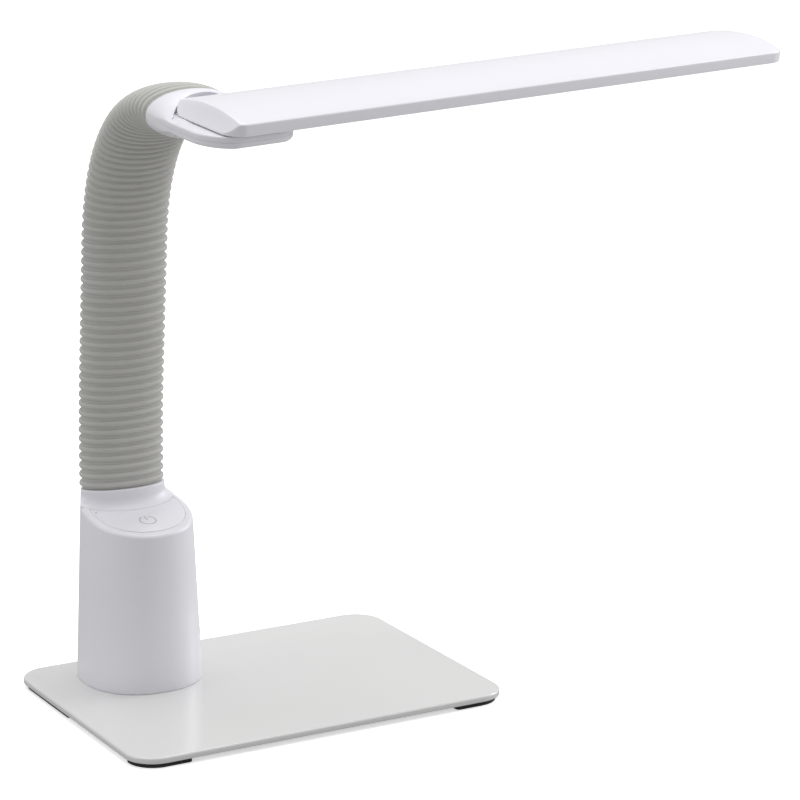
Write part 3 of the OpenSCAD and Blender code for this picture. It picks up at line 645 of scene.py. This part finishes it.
def sleeve_length(j):
    first, last = SPLITS[j], SPLITS[j + 1]
    skin, steps = [], []
    extra = 6 if last == RIBS else 0
    for k in range(first * RIB_STEPS, last * RIB_STEPS + 1 + extra):
        s = min(k * PITCH / RIB_STEPS, SLEEVE_L)
        drop = rib_radius((k % RIB_STEPS) / RIB_STEPS)
        skin.append(neck_ring(SLEEVE_W / 2 - drop, SLEEVE_D / 2 - drop, SLEEVE_SIDES, s))
        steps.append(s)
    inner = RIB_DEPTH + SLEEVE_WALL
    for s in [SLEEVE_L] * (last == RIBS) + [k * PITCH for k in range(last, first - 1, -1)]:
        skin.append(neck_ring(SLEEVE_W / 2 - inner, SLEEVE_D / 2 - inner, SLEEVE_SIDES, s))
        steps.append(s)
    made = tube(f"sleeve_{j + 1}", skin)
    soften(made, 60)
    paint(made, SLEEVE_GREY)
    bend_piece(made, steps, SLEEVE_SIDES, first * PITCH, min(last * PITCH, SLEEVE_L - 6))
    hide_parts("neck_sleeve")


def tube(name, rings):
    """Closed band of rings in the order given, faces outwards, with its points left in that order."""
    count = len(rings[0])
    total = len(rings)
    faces = []
    for k in range(total):
        here, there = k * count, ((k + 1) % total) * count
        for i in range(count):
            following = (i + 1) % count
            faces.append((here + i, here + following, there + following, there + i))
    return new_object(name, [p for ring in rings for p in ring], faces)


# Wire pair beside the core
LEAD_X, LEAD_R, LEAD_SIDES = 13, 1.5, 16
LEAD_START, LEAD_END = -14, SLEEVE_L + 2


def lead_ring(s, radius):
    return [neck_point(LEAD_X + radius * x, radius * y, s) for x, y in oval(1, 1, 2, LEAD_SIDES)]


def lead_length(j):
    first = LEAD_START if j == 0 else SPLITS[j] * PITCH
    last = LEAD_END if j == JOINTS - 1 else SPLITS[j + 1] * PITCH
    count = max(6, round((last - first) / 3))
    steps = [mix(first, last, k / count) for k in range(count + 1)]
    rings = [lead_ring(s, LEAD_R) for s in steps]
    rings += [lead_ring(s, LEAD_R * 0.3) for s in reversed(steps)]
    made = tube(f"lead_{j + 1}", rings)
    soften(made, 50)
    paint(made, LEAD_GREY)
    bend_piece(made, steps + steps[::-1], LEAD_SIDES, SPLITS[j] * PITCH,
               min(SPLITS[j + 1] * PITCH, SLEEVE_L - 6))
    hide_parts("neck_lead")


for number in range(JOINTS):
    sleeve_length(number)
    lead_length(number)


# Bracket: a cap over the sleeve's end that flattens into a thin tongue
HEAD_TURN = math.radians(12)
TILT = TIP_HEADING - math.pi / 2
TONGUE_W, TONGUE_L, TONGUE_LOW, TONGUE_T, TONGUE_CORNER = 53.8, 52, -2, 5.4, 17.5
TONGUE_TOP = TONGUE_LOW + TONGUE_T
TONGUE_EDGE = 1.0
SEAM_Z, SEAM_GAP = TONGUE_LOW + TONGUE_T / 2, 0.04
PIN_X, PIN_Y, PIN_R = -1, -31.5, 4.5
CAP_LENGTH, CAP_TURN, CAP_FALL = 26, 14, 1.8
SWEEP_GAP, SWIVEL_RANGE, SWEEP_LOW, WASHER_ROOM = 0.5, math.radians(150), TONGUE_TOP + 0.35, 13.6
PLUG_X, PLUG_Y, PLUG_REACH = 18.6, 7.6, 6
HUB_R, HUB_LOW, HUB_HIGH = 9.4, SEAM_Z - 1.3, SEAM_Z + 1.2
SHELL_SCREWS, SHELL_SCREW_D = [(-19, -41), (19, -41), (-15, -11), (15, -13)], 2.2
HEAD_W, HEAD_L, HEAD_BACK = 46, 361, 18
CORNER_LEFT, CORNER_RIGHT = 9, 13
QUARTER_STEPS = 14


def neck_frame(s):
    """Frame across the neck at a distance along it, with Z along the neck."""
    return (Matrix.Translation(neck_point(0, 0, s)) @ Matrix.Rotation(NECK_TURN, 4, "Z")
            @ Matrix.Rotation(heading(s), 4, "X"))


def bracket_frame():
    return (Matrix.Translation(neck_point(0, 0, SLEEVE_L)) @ Matrix.Rotation(HEAD_TURN, 4, "Z")
            @ Matrix.Rotation(TILT, 4, "X"))


def soft_section(y, half, top, bottom, round_x, round_z):
    """Rounded box across the tongue, its corners parts of an ellipse."""
    ring = []
    middle, tall = (top + bottom) / 2, (top - bottom) / 2
    for quarter, (sx, sz) in enumerate(((1, 1), (-1, 1), (-1, -1), (1, -1))):
        for i in range(QUARTER_STEPS + 1):
            angle = math.pi / 2 * (quarter + i / QUARTER_STEPS)
            x = sx * (half - round_x) + round_x * math.cos(angle)
            z = middle + sz * (tall - round_z) + round_z * math.sin(angle)
            ring.append(Vector((x, y, z)))
    return ring


def sleeve_section(grow, depth):
    """The sleeve's own outline beyond its end, in the bracket's frame."""
    into = bracket_frame().inverted()
    count = 4 * (QUARTER_STEPS + 1)
    ring = []
    for i in range(count):
        angle = 2 * math.pi * (i + 0.5) / count
        x = (SLEEVE_W / 2 + grow) * signed_power(math.cos(angle), 2 / NECK_POWER)
        y = (SLEEVE_D / 2 + grow) * signed_power(math.sin(angle), 2 / NECK_POWER)
        ring.append(into @ neck_point(x, y, SLEEVE_L + depth))
    return ring


def cap_section(depth):
    """Section of the bracket at a distance in front of the sleeve's end."""
    share = ease(depth / CAP_LENGTH)
    half = mix(SLEEVE_W / 2 + 0.4, TONGUE_W / 2, ease(depth / 20))
    top = mix(SLEEVE_D / 2 + 0.3, TONGUE_TOP, 1 - (1 - depth / CAP_LENGTH) ** CAP_FALL)
    bottom = mix(-SLEEVE_D / 2 - 0.1, TONGUE_LOW, ease(depth / 22))
    tall = (top - bottom) / 2
    box = soft_section(-depth, half, top, bottom, mix(half - 0.3, TONGUE_EDGE, share ** 0.8),
                       mix(tall - 0.1, TONGUE_EDGE, share))
    sleeve = sleeve_section(mix(-0.4, 0.4, ease(depth / 1.2)), depth)
    blend = ease(depth / CAP_TURN)
    return [a.lerp(b, blend) for a, b in zip(sleeve, box)]


def tongue_section(depth):
    """Plain tongue, narrowing round its front corners and edge."""
    left = TONGUE_L - depth
    shrink = rounding(TONGUE_CORNER, left)
    lift = rounding(TONGUE_EDGE, left)
    return soft_section(-depth, TONGUE_W / 2 - shrink, TONGUE_TOP - lift, TONGUE_LOW + lift,
                        TONGUE_EDGE, min(TONGUE_EDGE, TONGUE_T / 2 - lift - 0.05))


def rounding(radius, left):
    """How far a rounded corner draws in at a distance from its end."""
    return radius - math.sqrt(max(radius ** 2 - max(radius - left, 0) ** 2, 0))


def bracket_body():
    depths = [0.05, 0.4, 0.8, 1.2] + [1.2 + (CAP_LENGTH - 1.2) * i / 28 for i in range(1, 29)]
    rings = [cap_section(d) for d in depths]
    corner = TONGUE_L - TONGUE_CORNER
    for i in range(27):
        rings.append(tongue_section(corner + TONGUE_CORNER * math.sin(math.pi / 2 * i / 26)))
    rings = [[bracket_frame() @ p for p in ring] for ring in rings]
    return loft("bracket", rings)


def in_bracket(name, outline, low, high, x=0.0, y=0.0):
    return prism(name, [(px + x, py + y) for px, py in outline], low, high, bracket_frame())


def rectangle(x0, y0, x1, y1):
    return [(x0, y0), (x1, y0), (x1, y1), (x0, y1)]


def head_room():
    """Outline of what the light bar's end sweeps above the tongue, from rest to the end of its turn."""
    reach = math.hypot(HEAD_BACK - CORNER_LEFT, HEAD_W / 2 - CORNER_LEFT) + CORNER_LEFT + SWEEP_GAP
    half = HEAD_W / 2 + SWEEP_GAP
    first = math.asin(half / reach)
    end = 2 * math.pi - SWIVEL_RANGE
    arc = [polar(reach, mix(first, end - first, i / 48)) for i in range(49)]
    far = (arc[-1][0] + 60 * math.cos(end), arc[-1][1] + 60 * math.sin(end))
    return [(120, half)] + arc + [far, (far[0], -100), (120, -100)]


def cut_rooms(shell):
    """Rooms inside the two shells for the neck's plug, the swivel's nut and the wires."""
    plug = prism("socket", oval(PLUG_X, PLUG_Y, 2, 64), -2, 14, neck_frame(SLEEVE_L))
    cut(plug, in_bracket("plug_end", rectangle(-40, -60, 40, -PLUG_REACH - 0.3), -30, 30))
    cut(shell, plug)
    cut(shell, in_bracket("hub", frame_circle(HUB_R, 64), HUB_LOW, HUB_HIGH, PIN_X, PIN_Y))
    cut(shell, in_bracket("wire_way", rectangle(-4, PIN_Y, 14, PIN_Y + 27), SEAM_Z - 1, SEAM_Z + 1))
    for x, y in SHELL_SCREWS:
        outline = frame_circle(SHELL_SCREW_D / 2, 24)
        cut(shell, in_bracket("thread", outline, SEAM_Z - 1.1, SEAM_Z + 1.6, x, y))


def make_bracket():
    for name, low, high, node in (("bracket_upper_skin", SEAM_Z + SEAM_GAP, 60, "bracket_top"),
                                  ("bracket_lower_skin", -60, SEAM_Z - SEAM_GAP, "bracket_bottom")):
        shell = bracket_body()
        shell.name = name
        if node == "bracket_top":
            cut(shell, in_bracket("head_room", head_room(), SWEEP_LOW, 40, PIN_X, PIN_Y))
            seat = frame_circle(WASHER_ROOM, 96)
            cut(shell, in_bracket("washer_room", seat, TONGUE_TOP + 0.01, 40, PIN_X, PIN_Y))
        cut(shell, in_bracket("half", rectangle(-90, -90, 90, 60), low, high), "INTERSECT")
        cut_rooms(shell)
        if node == "bracket_top":
            cut(shell, in_bracket("bore", frame_circle(PIN_R + 0.1, 64), -10, 20, PIN_X, PIN_Y))
        else:
            for x, y in SHELL_SCREWS:
                cut(shell, in_bracket("head", frame_circle(SHELL_SCREW_D, 40), -20, TONGUE_LOW + 1.2, x, y))
                cut(shell, in_bracket("shank", frame_circle(1.15, 40), -20, TONGUE_LOW + 4, x, y))
        soften(shell, 30)
        settle(shell, "bracket", SATIN_WHITE, [node])


make_bracket()


# Light bar: a crowned top with rounded ends
HEAD_LOW, HEAD_SIDE, HEAD_CROWN, HEAD_WALL = TONGUE_TOP + 0.6, 5.5, 3.6, 1.6
EDGE_ROUND = 0.9
HEAD_FRONT = HEAD_L - HEAD_BACK
END_SLOPE = 4.5


def corner_half(distance, radius, half):
    if distance >= radius:
        return half
    return half - radius + math.sqrt(max(radius ** 2 - (radius - distance) ** 2, 0))


def bar_section(x, inset, low, steps=20):
    """Arch across the bar: straight sides, a small round over the crease and the crowned top."""
    left, right = x + HEAD_BACK - inset, HEAD_FRONT - inset - x
    half = min(corner_half(left, CORNER_LEFT, HEAD_W / 2 - inset),
               corner_half(right, CORNER_RIGHT, HEAD_W / 2 - inset))
    rise = min(1, left / END_SLOPE * 0.9 + 0.1, right / END_SLOPE * 0.6 + 0.4)
    side = (HEAD_LOW + HEAD_SIDE - inset - low) * rise
    crown = HEAD_CROWN * rise * (2 * half / HEAD_W) ** 2
    lean = math.atan(2 * crown / half)
    curve = EDGE_ROUND * rise
    arc_end = math.pi / 2 - lean
    start_y = half - curve * (1 - math.cos(arc_end))
    start_z = low + side + crown * (1 - (start_y / half) ** 2)
    middle_z = start_z - curve * math.sin(arc_end)
    profile = [(half, low)]
    for i in range(6):
        angle = arc_end * i / 5
        profile.append((half - curve + curve * math.cos(angle), middle_z + curve * math.sin(angle)))
    for i in range(1, steps):
        y = start_y * (1 - i / steps)
        profile.append((y, low + side + crown * (1 - (y / half) ** 2)))
    top = (0, low + side + crown)
    mirrored = [(-y, z) for y, z in reversed(profile)]
    return [(x, y, z) for y, z in profile + [top] + mirrored]


def bar_stations(inset):
    ends = [1 - math.cos(math.pi / 2 * i / 16) for i in range(17)]
    left = [-HEAD_BACK + inset + CORNER_LEFT * t for t in ends]
    right = [HEAD_FRONT - inset - CORNER_RIGHT * t for t in reversed(ends)]
    return left + right


def bar_solid(name, inset, low):
    frame_of = bracket_frame() @ Matrix.Translation((PIN_X, PIN_Y, 0))
    rings = []
    for x in bar_stations(inset):
        rings.append([frame_of @ Vector(p) for p in bar_section(x, inset, low)])
    return loft(name, rings)


def make_bar():
    top = bar_solid("bar_top_skin", 0, HEAD_LOW)
    cut(top, bar_solid("bar_hollow", HEAD_WALL, HEAD_LOW - 2))
    soften(top, 30)
    settle(top, "light_bar", SATIN_WHITE, ["head_top"])


make_bar()


# Studio: a pale glowing floor, a white world and soft lamps
FLOOR_GLOW, FLOOR_BOUNCE, FLOOR_TONE = 0.55, (0.42, 0.42, 0.42), (0.9, 0.9, 0.9)
WORLD_LIGHT, WORLD_SEEN = 0.56, 1.1


def make_floor():
    bpy.ops.mesh.primitive_plane_add(size=12, location=(0, 0, 0))
    floor = bpy.context.object
    floor.name = "floor"
    fixed = {"Roughness": 0.9, "Specular IOR Level": 0.1, "Emission Strength": FLOOR_GLOW}
    shader = Shader("floor_white", fixed)
    seen = shader.node("ShaderNodeLightPath", {}, {}, "Is Camera Ray")
    shader.feed("Base Color", shader.tint(seen, FLOOR_BOUNCE, FLOOR_TONE))
    shader.feed("Emission Color", shader.tint(seen, (0, 0, 0), (1, 1, 1)))
    paint(floor, shader.material)


def softbox(name, place, aim, size, watts, tint=(1, 1, 1)):
    data = bpy.data.lights.new(name, "AREA")
    data.shape = "RECTANGLE"
    data.size, data.size_y = size
    data.energy = watts
    data.color = tint
    lamp = bpy.data.objects.new(name, data)
    bpy.context.scene.collection.objects.link(lamp)
    lamp.location = place
    lamp.rotation_mode = "QUATERNION"
    lamp.rotation_quaternion = (Vector(aim) - Vector(place)).to_track_quat("-Z", "Y")


def make_studio():
    make_floor()
    softbox("left_box", (-1.9, 0.3, 0.9), (0, 0, 0.2), (1.0, 1.6), 6)
    softbox("right_box", (1.9, -0.25, 0.9), (0.05, 0, 0.2), (1.0, 1.5), 20)
    softbox("top_box", (0.1, 0.3, 2.1), (0.05, 0, 0.15), (1.6, 1.6), 20)
    world = bpy.data.worlds.new("studio")
    world.use_nodes = True
    tree = world.node_tree
    background = tree.nodes["Background"]
    background.inputs["Color"].default_value = (1, 1, 1, 1)
    seen = tree.nodes.new("ShaderNodeLightPath")
    level = tree.nodes.new("ShaderNodeMapRange")
    tree.links.new(seen.outputs["Is Camera Ray"], level.inputs["Value"])
    level.inputs["To Min"].default_value = WORLD_LIGHT
    level.inputs["To Max"].default_value = WORLD_SEEN
    tree.links.new(level.outputs["Result"], background.inputs["Strength"])
    scene = bpy.context.scene
    scene.world = world
    scene.render.engine = "CYCLES"
    scene.render.resolution_x = 800
    scene.render.resolution_y = 800
    scene.view_settings.view_transform = "Standard"
    scene.view_settings.look = "None"
    scene.view_settings.exposure = 0.0


make_studio()
